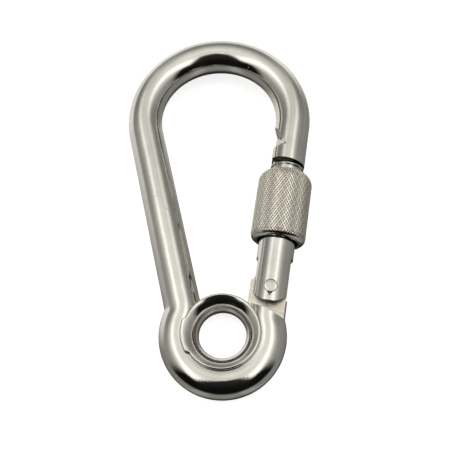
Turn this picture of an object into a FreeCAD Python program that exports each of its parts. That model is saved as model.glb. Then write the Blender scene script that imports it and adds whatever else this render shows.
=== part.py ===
import FreeCAD, Part
import math
import os
import Sketcher
from FreeCAD import Placement, Rotation, Vector

# Screw-lock snap hook with a thimble in its eye.
#
# Frame: the bent wire lies in the XY plane, the eye's centre is the origin, +Y runs from the eye
# to the bow, +X towards the gate and +Z out of the ring. The gate and everything on it are drawn
# in a frame of their own: its origin is the pivot, y runs up the gate's axis, x outwards.

DIMENSIONS = {
    # bent wire
    "wire_radius": (3.625, "round wire of the body"),
    "eye_radius": (8.85, "eye, to the wire's centre line"),
    "neck_bend": (4.2, "reverse bend where the wire leaves the eye"),
    "spine_offset": (6.454, "spine's centre line from the eye's centre"),
    "spine_lean": (12.62, "spine's lean from +Y, degrees, away from the gate"),
    "bow_radius": (16.05, "bow, to the wire's centre line"),
    "gate_offset": (7.942, "stub's and nose's centre line from the eye's centre"),
    "gate_lean": (8.7, "gate's lean from +Y, degrees, outwards"),
    "nose_length": (9.9, "straight nose, before its end is cut"),
    "stub_length": (3.4, "round stub between the lower bend and the tongue"),
    # pivot tongue of the body
    "pivot_offset": (8.03, "pivot from the eye's centre, across the gate's lean"),
    "pivot_rise": (10.2, "pivot from the foot of the perpendicular on the gate's axis"),
    "tongue_half": (1.55, "half the flattened tongue's thickness"),
    "tongue_left": (-4.1, "inner edge of the tongue"),
    "tongue_right": (3.25, "outer edge of the tongue"),
    "lug_top": (1.43, "top of the inner lug"),
    "cam_shift": (-1.3, "centre of the cam round from the pivot"),
    "cam_radius": (2.9, "cam round that lifts the plunger"),
    "boss_radius": (2.6, "round boss about the pivot"),
    "step_distance": (4.35, "edge of the milled flat from the pivot"),
    "step_lean": (18.8, "that edge's turn from the gate's axis, degrees"),
    "step_draft": (4.0, "draft of the step at that edge, degrees"),
    "pivot_bore": (1.35, "bore in the tongue"),
    # nose
    "slot_half": (1.3, "half the nose slot's width"),
    "slot_right": (0.95, "closed side of the nose slot"),
    "slot_top": (33.8, "closed end of the nose slot"),
    "nose_cut_in": (28.35, "nose end at the wire's inner side"),
    "nose_cut_out": (27.6, "nose end at the wire's outer side"),
    "notch_depth": (-0.75, "root of the latch notch from the gate's axis"),
    "notch_root": (31.15, "root of the latch notch along the gate's axis"),
    "notch_low": (30.5, "notch's lower face, beyond the wire"),
    "notch_high": (39.25, "notch's upper face, beyond the wire"),
    "notch_reach": (-5.5, "notch cut past the wire's inner side"),
    # gate
    "shank_radius": (3.66, "smooth shank"),
    "heel_round": (4.0, "round of the gate's lower end, in plan"),
    "heel_centre": (1.0, "centre of that round above the pivot"),
    "shank_top": (11.6, "shoulder under the thread"),
    "relief_radius": (3.1, "thread relief"),
    "relief_top": (12.9, "upper end of the thread relief"),
    "thread_radius": (3.45, "crest of the outer thread"),
    "collar_low": (26.0, "groove under the gate's end collar, lower side"),
    "collar_high": (26.75, "groove under the gate's end collar, upper side"),
    "gate_top": (27.1, "upper face of the gate"),
    "gate_chamfer": (0.15, "chamfer of the upper face"),
    "fork_half": (1.62, "half the fork's slot"),
    "fork_in": (6.1, "fork slot's end at the inner side"),
    "fork_out": (6.8, "fork slot's end at the outer side"),
    "spring_bore": (1.55, "bore for plunger and spring"),
    "bore_end": (20.6, "blind end of that bore"),
    "latch_half": (1.15, "half the latch tongue's thickness"),
    "latch_left": (-3.0, "inner edge of the latch tongue"),
    "latch_right": (0.65, "outer edge of the latch tongue"),
    "latch_top": (33.2, "end of the latch tongue"),
    "latch_round": (0.6, "corner round of the latch tongue"),
    "pin_x": (-1.75, "latch pin's centre, across"),
    "pin_y": (31.7, "latch pin's centre, along"),
    "pin_radius": (0.45, "latch pin"),
    "pin_half": (3.05, "half the latch pin's length"),
    # small parts
    "rivet_radius": (1.30, "pivot rivet's shank"),
    "rivet_half": (3.64, "half the rivet's length"),
    "rivet_dome": (0.16, "height of the rivet's domed edge"),
    "plunger_radius": (1.5, "spring plunger"),
    "plunger_tip": (2.75, "plunger's tip above the pivot"),
    "plunger_top": (9.4, "plunger's upper face"),
    "spring_radius": (1.12, "spring, to the wire's centre"),
    "spring_wire": (0.2, "radius of the spring's wire"),
    "spring_pitch": (1.25, "pitch of the spring"),
    "spring_turns": (8.0, "turns of the spring"),
    # thimble
    "thimble_gap": (0.06, "gap between thimble and wire"),
    "thimble_wall": (0.57, "wall of the thimble"),
    "thimble_bore": (4.65, "clear radius through the thimble"),
    "rim_radius": (7.02, "rim of the thimble"),
    # sleeve
    "sleeve_radius": (5.60, "over the knurl"),
    "sleeve_bottom": (10.25, "lower face"),
    "sleeve_top": (25.1, "upper face"),
    "mouth_radius": (4.2, "open lower mouth"),
    "mouth_depth": (13.3, "inner end of the mouth"),
    "nut_radius": (3.5, "inner thread's crest"),
    "nut_top": (19.5, "upper end of the inner thread"),
    "sleeve_bore": (3.9, "smooth upper bore that passes over the nose"),
    "skirt_round": (1.35, "round at the lower edge"),
    "shoulder_start": (23.4, "start of the sloped shoulder"),
    "shoulder_radius": (4.65, "upper face's outer radius"),
    "ring_inner": (3.52, "inner edge of the flat retaining ring"),
    "ring_outer": (4.48, "outer edge of the flat retaining ring"),
    "ring_height": (12.3, "retaining ring along the gate"),
    "ring_half": (0.3, "half the ring's thickness"),
    "ring_arc": (335.0, "open ring's arc, degrees"),
    "groove_radius": (4.55, "ring groove in the sleeve"),
    "groove_half": (0.34, "half the ring groove's height"),
}

FAR = 9.0  # how far a cutting outline runs past the metal
SHEET = "Dimensions"


class Dim:
    """A length that carries both its value and the sheet expression it comes from."""

    def __init__(self, value, text):
        self.value = value
        self.text = text

    @staticmethod
    def wrap(other):
        return other if isinstance(other, Dim) else Dim(float(other), repr(float(other)))

    def combine(self, other, sign, value):
        return Dim(value, f"({self.text} {sign} {other.text})")

    def __add__(self, other):
        other = Dim.wrap(other)
        return self.combine(other, "+", self.value + other.value)

    def __sub__(self, other):
        other = Dim.wrap(other)
        return self.combine(other, "-", self.value - other.value)

    def __mul__(self, other):
        other = Dim.wrap(other)
        return self.combine(other, "*", self.value * other.value)

    def __neg__(self):
        return Dim(-self.value, f"(0 - {self.text})")


def size(name):
    """The named dimension, bound to its cell."""
    return Dim(DIMENSIONS[name][0], f"{SHEET}.{name}")


doc = FreeCAD.newDocument("SnapHook")


def fill_sheet():
    """Write every driving dimension into its own cell, with an alias and a note."""
    sheet = doc.addObject("Spreadsheet::Sheet", SHEET)
    for row, (alias, (value, note)) in enumerate(DIMENSIONS.items(), start=1):
        sheet.set(f"A{row}", alias)
        sheet.set(f"B{row}", str(value))
        sheet.setAlias(f"B{row}", alias)
        sheet.set(f"C{row}", note)
    doc.recompute()


def bind(target, prop, dim):
    """Bind one property to a dimension and give it that value."""
    target.setExpression(prop, Dim.wrap(dim).text)


# ---------------------------------------------------------------- sketches

def new_body(label):
    body = doc.addObject("PartDesign::Body", label)
    body.Label = label
    return body


def new_sketch(body, name, role="XY_Plane", offset=None):
    """A sketch on one of the body's own origin planes."""
    sketch = body.newObject("Sketcher::SketchObject", name)
    plane = next(f for f in body.Origin.OriginFeatures if f.Role == role)
    sketch.AttachmentSupport = [(plane, "")]
    sketch.MapMode = "FlatFace"
    if offset is not None:
        sketch.AttachmentOffset = offset
    return sketch


def pin_point(sketch, geometry, position, x, y):
    """Fix one point of a sketch by two bound distances from the sketch's origin."""
    for kind, dim in (("DistanceX", Dim.wrap(x)), ("DistanceY", Dim.wrap(y))):
        index = sketch.addConstraint(
            Sketcher.Constraint(kind, -1, 1, geometry, position, dim.value))
        bind(sketch, f"Constraints[{index}]", dim)


def outline(sketch, corners):
    """A closed outline of straight edges, each corner held by bound distances."""
    points = [Vector(Dim.wrap(x).value, Dim.wrap(y).value, 0) for x, y in corners]
    count = len(points)
    lines = [sketch.addGeometry(Part.LineSegment(points[i], points[(i + 1) % count]))
             for i in range(count)]
    for i, line in enumerate(lines):
        sketch.addConstraint(
            Sketcher.Constraint("Coincident", line, 2, lines[(i + 1) % count], 1))
        pin_point(sketch, line, 1, *corners[i])
    return lines


def circle(sketch, x, y, radius):
    """A bound circle."""
    x, y, radius = Dim.wrap(x), Dim.wrap(y), Dim.wrap(radius)
    centre = Vector(x.value, y.value, 0)
    index = sketch.addGeometry(Part.Circle(centre, Vector(0, 0, 1), radius.value))
    pin_point(sketch, index, 3, x, y)
    radius_index = sketch.addConstraint(Sketcher.Constraint("Radius", index, radius.value))
    bind(sketch, f"Constraints[{radius_index}]", radius)


# ---------------------------------------------------------------- features

def pocket(body, sketch, name, depth, both_ways=True, reverse=False, taper=0.0):
    """Cut a sketch out of the body and make sure that metal went away."""
    doc.recompute()
    before = body.Shape.Volume
    cut = body.newObject("PartDesign::Pocket", name)
    cut.Profile = sketch
    cut.Type = "Length"
    cut.SideType = "Symmetric" if both_ways else "One side"
    bind(cut, "Length", depth)
    cut.Reversed = reverse
    cut.TaperAngle = taper
    doc.recompute()
    if not body.Shape.Volume < before - 1e-3:
        raise RuntimeError(f"{name} cuts nothing")
    return cut


def pad(body, sketch, name, thickness):
    """Add a sketch as a plate about its own plane."""
    plate = body.newObject("PartDesign::Pad", name)
    plate.Profile = sketch
    plate.Type = "Length"
    plate.SideType = "Symmetric"
    bind(plate, "Length", thickness)
    doc.recompute()
    return plate


def turned(body, corners, name="Turning", sweep=360.0):
    """Turn a closed half-section, x the radius and y along the axis, about the y axis."""
    sketch = new_sketch(body, name + "Section")
    outline(sketch, corners)
    revolution = body.newObject("PartDesign::Revolution", name)
    revolution.Profile = sketch
    revolution.ReferenceAxis = (sketch, ["V_Axis"])
    bind(revolution, "Angle", sweep)
    doc.recompute()
    return revolution


def grooved(body, corners, name):
    """Turn a half-section out of the body about the y axis."""
    before = body.Shape.Volume
    sketch = new_sketch(body, name + "Section")
    outline(sketch, corners)
    groove = body.newObject("PartDesign::Groove", name)
    groove.Profile = sketch
    groove.ReferenceAxis = (sketch, ["V_Axis"])
    groove.Angle = 360.0
    doc.recompute()
    if not body.Shape.Volume < before - 1e-3:
        raise RuntimeError(f"{name} cuts nothing")
    return groove


def round_edges(body, base, name, radius, wanted):
    """Round those edges of the base feature that the test accepts."""
    names = [f"Edge{i}" for i, edge in enumerate(base.Shape.Edges, start=1) if wanted(edge)]
    if not names:
        raise RuntimeError(f"{name} finds no edge")
    fillet = body.newObject("PartDesign::Fillet", name)
    fillet.Base = (base, names)
    bind(fillet, "Radius", radius)
    doc.recompute()
    return fillet


def ring_edge(radius, height):
    """A test for a full circle about the y axis at one radius and height."""
    def test(edge):
        curve = edge.Curve
        return (isinstance(curve, Part.Circle) and abs(curve.Radius - radius) < 1e-3
                and abs(curve.Center.y - height) < 1e-3)
    return test


# ---------------------------------------------------------------- the plan of the wire

def direction(lean_degrees):
    """Unit vectors along and across a line that leans from +Y towards +X."""
    lean = math.radians(lean_degrees)
    along = Vector(math.sin(lean), math.cos(lean), 0)
    across = Vector(math.cos(lean), -math.sin(lean), 0)
    return along, across


GATE_ALONG, GATE_ACROSS = direction(DIMENSIONS["gate_lean"][0])
SPINE_ALONG, SPINE_ACROSS = direction(-DIMENSIONS["spine_lean"][0])
PIVOT = (GATE_ACROSS * DIMENSIONS["pivot_offset"][0]
         + GATE_ALONG * DIMENSIONS["pivot_rise"][0])
GATE_PLACE = Placement(PIVOT, Rotation(Vector(0, 0, 1), -DIMENSIONS["gate_lean"][0]))
CROSSWISE = Rotation(Vector(1, 0, 0), 90)  # turns a part's own y axis to +Z


def gate_frame(z=0.0, turn=0.0):
    """Attachment offset of a sketch in the gate's frame, raised by z and turned about the pivot."""
    lean = DIMENSIONS["gate_lean"][0]
    return Placement(PIVOT + Vector(0, 0, z), Rotation(Vector(0, 0, 1), -lean - turn))


def neck(across, along, offset, side):
    """Centre and tangent points of the reverse bend between the eye and a straight run."""
    eye = DIMENSIONS["eye_radius"][0]
    bend = DIMENSIONS["neck_bend"][0]
    rise = math.sqrt((eye + bend) ** 2 - (offset + bend) ** 2)
    centre = across * (side * (offset + bend)) + along * rise
    on_eye = centre * (eye / (eye + bend))
    on_line = across * (side * offset) + along * rise
    return centre, on_eye, on_line


def arc(centre, start, end):
    """The counter-clockwise arc from start to end about a centre."""
    first = math.atan2(start.y - centre.y, start.x - centre.x)
    last = math.atan2(end.y - centre.y, end.x - centre.x)
    if last < first:
        last += 2 * math.pi
    whole = Part.Circle(centre, Vector(0, 0, 1), (start - centre).Length)
    return Part.ArcOfCircle(whole, first, last)


def hold_radius(sketch, index, name):
    value = DIMENSIONS[name][0]
    constraint = sketch.addConstraint(Sketcher.Constraint("Radius", index, value))
    bind(sketch, f"Constraints[{constraint}]", size(name))


def hold_eye(sketch, index, bottom_end):
    """Centre an arc on the origin, start it at the eye's lowest point and size it."""
    sketch.addConstraint(Sketcher.Constraint("Coincident", index, 3, -1, 1))
    sketch.addConstraint(Sketcher.Constraint("PointOnObject", index, bottom_end, -2))
    hold_radius(sketch, index, "eye_radius")


def hold_line(sketch, index, offset_name, angle_text, angle_value):
    """Fix a straight run by its distance from the eye's centre and its direction."""
    offset = DIMENSIONS[offset_name][0]
    distance = sketch.addConstraint(Sketcher.Constraint("Distance", -1, 1, index, offset))
    bind(sketch, f"Constraints[{distance}]", size(offset_name))
    angle = sketch.addConstraint(
        Sketcher.Constraint("Angle", index, math.radians(angle_value)))
    bind(sketch, f"Constraints[{angle}]", Dim(angle_value, angle_text))


def hold_length(sketch, index, name):
    constraint = sketch.addConstraint(
        Sketcher.Constraint("Distance", index, DIMENSIONS[name][0]))
    bind(sketch, f"Constraints[{constraint}]", size(name))


def stub_path(body):
    """Eye's lowest point, round the gate side, reverse bend and round stub."""
    sketch = new_sketch(body, "StubPath")
    lowest = Vector(0, -DIMENSIONS["eye_radius"][0], 0)
    centre, on_eye, on_line = neck(GATE_ACROSS, GATE_ALONG, DIMENSIONS["gate_offset"][0], 1)
    tip = on_line + GATE_ALONG * DIMENSIONS["stub_length"][0]
    eye = sketch.addGeometry(arc(Vector(0, 0, 0), lowest, on_eye))
    bend = sketch.addGeometry(arc(centre, on_line, on_eye))
    stub = sketch.addGeometry(Part.LineSegment(on_line, tip))
    hold_eye(sketch, eye, 1)
    sketch.addConstraint(Sketcher.Constraint("Tangent", eye, 2, bend, 2))
    sketch.addConstraint(Sketcher.Constraint("Tangent", bend, 1, stub, 1))
    hold_radius(sketch, bend, "neck_bend")
    hold_line(sketch, stub, "gate_offset", f"90 - {SHEET}.gate_lean",
              90 - DIMENSIONS["gate_lean"][0])
    hold_length(sketch, stub, "stub_length")
    return sketch


def bow_centre():
    """Centre of the bow, whose circle touches both the spine's and the gate's lines."""
    radius = DIMENSIONS["bow_radius"][0]
    gate_gap = DIMENSIONS["gate_offset"][0] - radius
    spine_gap = DIMENSIONS["spine_offset"][0] - radius
    left = SPINE_ACROSS * -1
    det = GATE_ACROSS.x * left.y - GATE_ACROSS.y * left.x
    return Vector((gate_gap * left.y - spine_gap * GATE_ACROSS.y) / det,
                  (GATE_ACROSS.x * spine_gap - left.x * gate_gap) / det, 0)


def hook_path(body):
    """Eye's lowest point, round the far side, reverse bend, spine, bow and straight nose."""
    sketch = new_sketch(body, "HookPath")
    lowest = Vector(0, -DIMENSIONS["eye_radius"][0], 0)
    centre, on_eye, on_line = neck(SPINE_ACROSS, SPINE_ALONG,
                                   DIMENSIONS["spine_offset"][0], -1)
    bow = bow_centre()
    radius = DIMENSIONS["bow_radius"][0]
    spine_end = bow - SPINE_ACROSS * radius
    nose_start = bow + GATE_ACROSS * radius
    nose_end = nose_start - GATE_ALONG * DIMENSIONS["nose_length"][0]
    eye = sketch.addGeometry(arc(Vector(0, 0, 0), on_eye, lowest))
    bend = sketch.addGeometry(arc(centre, on_eye, on_line))
    spine = sketch.addGeometry(Part.LineSegment(on_line, spine_end))
    top = sketch.addGeometry(arc(bow, nose_start, spine_end))
    nose = sketch.addGeometry(Part.LineSegment(nose_end, nose_start))
    hold_eye(sketch, eye, 2)
    sketch.addConstraint(Sketcher.Constraint("Tangent", eye, 1, bend, 1))
    sketch.addConstraint(Sketcher.Constraint("Tangent", bend, 2, spine, 1))
    sketch.addConstraint(Sketcher.Constraint("Tangent", spine, 2, top, 2))
    sketch.addConstraint(Sketcher.Constraint("Tangent", top, 1, nose, 2))
    hold_radius(sketch, bend, "neck_bend")
    hold_radius(sketch, top, "bow_radius")
    hold_line(sketch, spine, "spine_offset", f"90 + {SHEET}.spine_lean",
              90 + DIMENSIONS["spine_lean"][0])
    hold_line(sketch, nose, "gate_offset", f"90 - {SHEET}.gate_lean",
              90 - DIMENSIONS["gate_lean"][0])
    hold_length(sketch, nose, "nose_length")
    return sketch


# ---------------------------------------------------------------- the pieces

def sweep_wire(body, path, name):
    """Carry the round wire's section from the eye's lowest point along a path."""
    section = new_sketch(body, name + "Section", "YZ_Plane")
    circle(section, -size("eye_radius"), 0, size("wire_radius"))
    doc.recompute()
    pipe = body.newObject("PartDesign::AdditivePipe", name)
    pipe.Profile = section
    pipe.Spine = path
    pipe.Mode = "Standard"
    doc.recompute()
    return pipe


def tongue_outline(sketch):
    """Flattened tongue in the gate's frame: lug, cam round, boss round, outer edge."""
    cam = Vector(DIMENSIONS["cam_shift"][0], 0, 0)
    cam_radius = DIMENSIONS["cam_radius"][0]
    boss_radius = DIMENSIONS["boss_radius"][0]
    lug_top = DIMENSIONS["lug_top"][0]
    left = DIMENSIONS["tongue_left"][0]
    right = DIMENSIONS["tongue_right"][0]
    on_cam = Vector(cam.x - math.sqrt(cam_radius ** 2 - lug_top ** 2), lug_top, 0)
    meet_x = (boss_radius ** 2 - cam_radius ** 2 + cam.x ** 2) / (2 * cam.x)
    meet = Vector(meet_x, math.sqrt(boss_radius ** 2 - meet_x ** 2), 0)
    boss_end = Vector(boss_radius, 0, 0)
    corners = [(right, -1.5), (right, -5.9), (2.4, -6.4), (-3.2, -4.6), (left, -3.3),
               (left, lug_top)]
    points = [boss_end] + [Vector(x, y, 0) for x, y in corners] + [on_cam]
    lines = [sketch.addGeometry(Part.LineSegment(a, b)) for a, b in zip(points, points[1:])]
    cam_arc = sketch.addGeometry(arc(cam, meet, on_cam))
    boss_arc = sketch.addGeometry(arc(Vector(0, 0, 0), boss_end, meet))
    for first, second in zip(lines, lines[1:]):
        sketch.addConstraint(Sketcher.Constraint("Coincident", first, 2, second, 1))
    sketch.addConstraint(Sketcher.Constraint("Coincident", lines[-1], 2, cam_arc, 2))
    sketch.addConstraint(Sketcher.Constraint("Coincident", cam_arc, 1, boss_arc, 2))
    sketch.addConstraint(Sketcher.Constraint("Coincident", boss_arc, 1, lines[0], 1))
    sketch.addConstraint(Sketcher.Constraint("Coincident", boss_arc, 3, -1, 1))
    sketch.addConstraint(Sketcher.Constraint("PointOnObject", boss_arc, 1, -1))
    sketch.addConstraint(Sketcher.Constraint("PointOnObject", cam_arc, 3, -1))
    sketch.addConstraint(Sketcher.Constraint("Horizontal", lines[-1]))
    shift = sketch.addConstraint(
        Sketcher.Constraint("DistanceX", -1, 1, cam_arc, 3, cam.x))
    bind(sketch, f"Constraints[{shift}]", size("cam_shift"))
    hold_radius(sketch, cam_arc, "cam_radius")
    hold_radius(sketch, boss_arc, "boss_radius")
    bound = [(size("tongue_right"), -1.5), (size("tongue_right"), -5.9), (2.4, -6.4),
             (-3.2, -4.6), (size("tongue_left"), -3.3), (size("tongue_left"), size("lug_top"))]
    for line, (x, y) in zip(lines[1:], bound):
        pin_point(sketch, line, 1, x, y)


def mill_flat(body, upwards):
    """Mill one flat of the tongue, with a step up to the round wire."""
    level = DIMENSIONS["tongue_half"][0] * (1 if upwards else -1)
    turn = DIMENSIONS["step_lean"][0]
    side = "Upper" if upwards else "Lower"
    sketch = new_sketch(body, side + "Flat", offset=gate_frame(level, turn))
    foot = -size("step_distance")
    outline(sketch, [(-FAR, foot), (FAR, foot), (FAR, FAR), (-FAR, FAR)])
    pocket(body, sketch, side + "Milling", size("wire_radius"), both_ways=False,
           reverse=upwards, taper=DIMENSIONS["step_draft"][0])


def make_hook_body():
    """One bent wire: nose, bow, spine, eye, round stub and flattened pivot tongue."""
    body = new_body("hook_body")
    sweep_wire(body, stub_path(body), "Stub")
    sweep_wire(body, hook_path(body), "Hook")
    mill_flat(body, True)
    mill_flat(body, False)
    tongue = new_sketch(body, "TongueOutline", offset=gate_frame())
    tongue_outline(tongue)
    pad(body, tongue, "Tongue", size("tongue_half") * 2)
    bore = new_sketch(body, "PivotCircle", offset=gate_frame())
    circle(bore, 0, 0, size("pivot_bore"))
    pocket(body, bore, "PivotBore", size("wire_radius") * 2)
    end = new_sketch(body, "NoseEndOutline", offset=gate_frame())
    slope = size("nose_cut_in") - size("nose_cut_out")
    outline(end, [(-size("wire_radius") * 2, size("nose_cut_in") + slope * 0.5),
                  (-size("wire_radius") * 2, size("nose_cut_in") - 4),
                  (size("wire_radius") * 2, size("nose_cut_in") - 4),
                  (size("wire_radius") * 2, size("nose_cut_out") - slope * 0.5)])
    pocket(body, end, "NoseEnd", size("wire_radius") * 4)
    slot = new_sketch(body, "NoseSlotOutline", offset=gate_frame())
    outline(slot, [(size("notch_reach"), size("nose_cut_out") - 1),
                   (size("slot_right"), size("nose_cut_out") - 1),
                   (size("slot_right"), size("slot_top")),
                   (size("notch_reach"), size("slot_top"))])
    pocket(body, slot, "NoseSlot", size("slot_half") * 2)
    notch = new_sketch(body, "NotchOutline", offset=gate_frame())
    outline(notch, [(size("notch_depth"), size("notch_root")),
                    (size("notch_reach"), size("notch_high")),
                    (size("notch_reach"), size("notch_low"))])
    pocket(body, notch, "LatchNotch", size("wire_radius") * 4)
    return body


def make_thimble():
    """Flared eyelet: a shell that follows the wire inside the eye, with a short round land."""
    clearance = size("wire_radius") + size("thimble_gap")
    fat = doc.addObject("Part::Torus", "ThimbleSkin")
    bind(fat, "Radius1", size("eye_radius"))
    bind(fat, "Radius2", clearance + size("thimble_wall"))
    slim = doc.addObject("Part::Torus", "ThimbleSeat")
    bind(slim, "Radius1", size("eye_radius"))
    bind(slim, "Radius2", clearance)
    rim = doc.addObject("Part::Cylinder", "ThimbleRim")
    bind(rim, "Radius", size("rim_radius"))
    bind(rim, "Height", size("wire_radius") * 4)
    bind(rim, "Placement.Base.z", -size("wire_radius") * 2)
    bore = doc.addObject("Part::Cylinder", "ThimbleBore")
    bind(bore, "Radius", size("thimble_bore"))
    bind(bore, "Height", size("wire_radius") * 4)
    bind(bore, "Placement.Base.z", -size("wire_radius") * 2)
    disc = doc.addObject("Part::Common", "ThimbleDisc")
    disc.Base = fat
    disc.Tool = rim
    shell = doc.addObject("Part::Cut", "ThimbleShell")
    shell.Base = disc
    shell.Tool = slim
    thimble = doc.addObject("Part::Cut", "thimble")
    thimble.Base = shell
    thimble.Tool = bore
    thimble.Label = "thimble"
    doc.recompute()
    return thimble


def make_gate_bar():
    """Round gate: forked heel, smooth shank, relief, threaded length, collar, latch tongue."""
    body = new_body("gate_bar")
    heel = size("heel_centre") - size("heel_round")
    edge = size("thread_radius") - size("gate_chamfer")
    turned(body, [
        (0, heel), (size("shank_radius"), heel),
        (size("shank_radius"), size("shank_top")), (size("relief_radius"), size("shank_top")),
        (size("relief_radius"), size("relief_top")),
        (size("thread_radius"), size("relief_top") + size("gate_chamfer")),
        (size("thread_radius"), size("collar_low")),
        (size("relief_radius"), size("collar_low")),
        (size("relief_radius"), size("collar_high")),
        (size("thread_radius"), size("collar_high")),
        (size("thread_radius"), size("gate_top") - size("gate_chamfer")),
        (edge, size("gate_top")), (0, size("gate_top"))])
    latch = new_sketch(body, "LatchOutline")
    outline(latch, [(size("latch_left"), size("gate_top") - 2),
                    (size("latch_right"), size("gate_top") - 2),
                    (size("latch_right"), size("latch_top")),
                    (size("latch_left"), size("latch_top"))])
    plate = pad(body, latch, "Latch", size("latch_half") * 2)
    top = DIMENSIONS["latch_top"][0]
    round_edges(body, plate, "LatchRound", size("latch_round"), lambda edge: all(
        abs(v.Point.y - top) < 1e-6 for v in edge.Vertexes)
        and abs(edge.Vertexes[0].Point.x - edge.Vertexes[-1].Point.x) < 1e-6)
    heel_sketch = new_sketch(body, "HeelOutline")
    heel_cut_outline(heel_sketch)
    pocket(body, heel_sketch, "HeelRound", size("shank_radius") * 3)
    fork = new_sketch(body, "ForkOutline")
    side = size("shank_radius") + 1
    outline(fork, [(-side, heel - 1), (side, heel - 1),
                   (side, size("fork_out")), (-side, size("fork_in"))])
    pocket(body, fork, "Fork", size("fork_half") * 2)
    grooved(body, [(0, size("fork_in") - 1), (size("spring_bore"), size("fork_in") - 1),
                   (size("spring_bore"), size("bore_end")), (0, size("bore_end"))],
            "SpringBore")
    holes = (("RivetHole", 0, 0, size("rivet_radius")),
             ("PinHole", size("pin_x"), size("pin_y"), size("pin_radius")))
    for name, x, y, radius in holes:
        sketch = new_sketch(body, name + "Circle")
        circle(sketch, x, y, radius)
        pocket(body, sketch, name, size("shank_radius") * 3)
    body.Placement = GATE_PLACE
    return body


def heel_cut_outline(sketch):
    """The metal outside the round of the gate's heel."""
    radius = DIMENSIONS["heel_round"][0]
    level = DIMENSIONS["heel_centre"][0]
    centre = Vector(0, level, 0)
    left = Vector(-radius, level, 0)
    right = Vector(radius, level, 0)
    corners = [right, Vector(FAR, level, 0), Vector(FAR, -FAR, 0), Vector(-FAR, -FAR, 0),
               Vector(-FAR, level, 0), left]
    rounding = sketch.addGeometry(arc(centre, left, right))
    lines = [sketch.addGeometry(Part.LineSegment(a, b)) for a, b in zip(corners, corners[1:])]
    for first, second in zip(lines, lines[1:]):
        sketch.addConstraint(Sketcher.Constraint("Coincident", first, 2, second, 1))
    sketch.addConstraint(Sketcher.Constraint("Coincident", rounding, 2, lines[0], 1))
    sketch.addConstraint(Sketcher.Constraint("Coincident", rounding, 1, lines[-1], 2))
    sketch.addConstraint(Sketcher.Constraint("Horizontal", lines[0]))
    sketch.addConstraint(Sketcher.Constraint("Horizontal", lines[-1]))
    hold_radius(sketch, rounding, "heel_round")
    pin_point(sketch, rounding, 3, 0, size("heel_centre"))
    pin_point(sketch, lines[1], 2, FAR, -FAR)
    pin_point(sketch, lines[2], 2, -FAR, -FAR)
    sketch.addConstraint(Sketcher.Constraint("Vertical", lines[1]))
    sketch.addConstraint(Sketcher.Constraint("Vertical", lines[3]))


def make_cross_pin(label, radius, half, dome, offset):
    """A plain pin across the ring, its ends slightly domed."""
    body = new_body(label)
    turned(body, [(0, -half), (radius - dome * 2, -half), (radius, -half + dome),
                  (radius, half - dome), (radius - dome * 2, half), (0, half)])
    body.Placement = GATE_PLACE * Placement(offset, CROSSWISE)
    return body


def make_spring_plunger():
    """Round-nosed plunger that presses on the tongue's cam."""
    body = new_body("spring_plunger")
    radius = size("plunger_radius")
    base = turned(body, [(0, size("plunger_tip")), (radius, size("plunger_tip")),
                         (radius, size("plunger_top")), (0, size("plunger_top"))])
    tip = DIMENSIONS["plunger_tip"][0]
    round_edges(body, base, "Nose", radius - 0.05,
                ring_edge(DIMENSIONS["plunger_radius"][0], tip))
    body.Placement = GATE_PLACE
    return body


def make_gate_spring():
    """Coil spring behind the plunger, wound along the gate's axis."""
    path = doc.addObject("Part::Helix", "SpringPath")
    bind(path, "Pitch", size("spring_pitch"))
    bind(path, "Height", size("spring_pitch") * size("spring_turns"))
    bind(path, "Radius", size("spring_radius"))
    section = doc.addObject("Part::Circle", "SpringSection")
    bind(section, "Radius", size("spring_wire"))
    section.Placement = Placement(Vector(DIMENSIONS["spring_radius"][0], 0, 0), CROSSWISE)
    spring = doc.addObject("Part::Sweep", "gate_spring")
    spring.Sections = [section]
    spring.Spine = path
    spring.Solid = True
    spring.Frenet = True
    spring.Label = "gate_spring"
    doc.recompute()
    start = DIMENSIONS["plunger_top"][0] + DIMENSIONS["spring_wire"][0] + 0.1
    spring.Placement = GATE_PLACE * Placement(
        Vector(0, start, 0), Rotation(Vector(1, 0, 0), -90))
    return spring


def make_sleeve_ring():
    """Open flat ring in the sleeve's groove, which stops on the shank's shoulder."""
    body = new_body("sleeve_ring")
    low = size("ring_height") - size("ring_half")
    high = size("ring_height") + size("ring_half")
    turned(body, [(size("ring_inner"), low), (size("ring_outer"), low),
                  (size("ring_outer"), high), (size("ring_inner"), high)],
           sweep=size("ring_arc"))
    body.Placement = GATE_PLACE
    return body


def make_screw_sleeve():
    """Knurled sleeve: open mouth with a ring groove, inner thread, smooth upper bore."""
    body = new_body("screw_sleeve")
    low = size("ring_height") - size("groove_half")
    high = size("ring_height") + size("groove_half")
    base = turned(body, [
        (size("mouth_radius"), size("sleeve_bottom")),
        (size("sleeve_radius"), size("sleeve_bottom")),
        (size("sleeve_radius"), size("shoulder_start")),
        (size("sleeve_radius") - 0.12, size("shoulder_start") + 0.55),
        (size("sleeve_radius") - 0.42, size("shoulder_start") + 1.15),
        (size("shoulder_radius"), size("sleeve_top")),
        (size("sleeve_bore"), size("sleeve_top")),
        (size("sleeve_bore"), size("nut_top")),
        (size("nut_radius"), size("nut_top") - 0.4),
        (size("nut_radius"), size("mouth_depth")),
        (size("mouth_radius"), size("mouth_depth")),
        (size("mouth_radius"), high), (size("groove_radius"), high),
        (size("groove_radius"), low), (size("mouth_radius"), low)])
    bottom = DIMENSIONS["sleeve_bottom"][0]
    round_edges(body, base, "SkirtRound", size("skirt_round") - 0.1,
                ring_edge(DIMENSIONS["sleeve_radius"][0], bottom))
    body.Placement = GATE_PLACE
    return body


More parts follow.
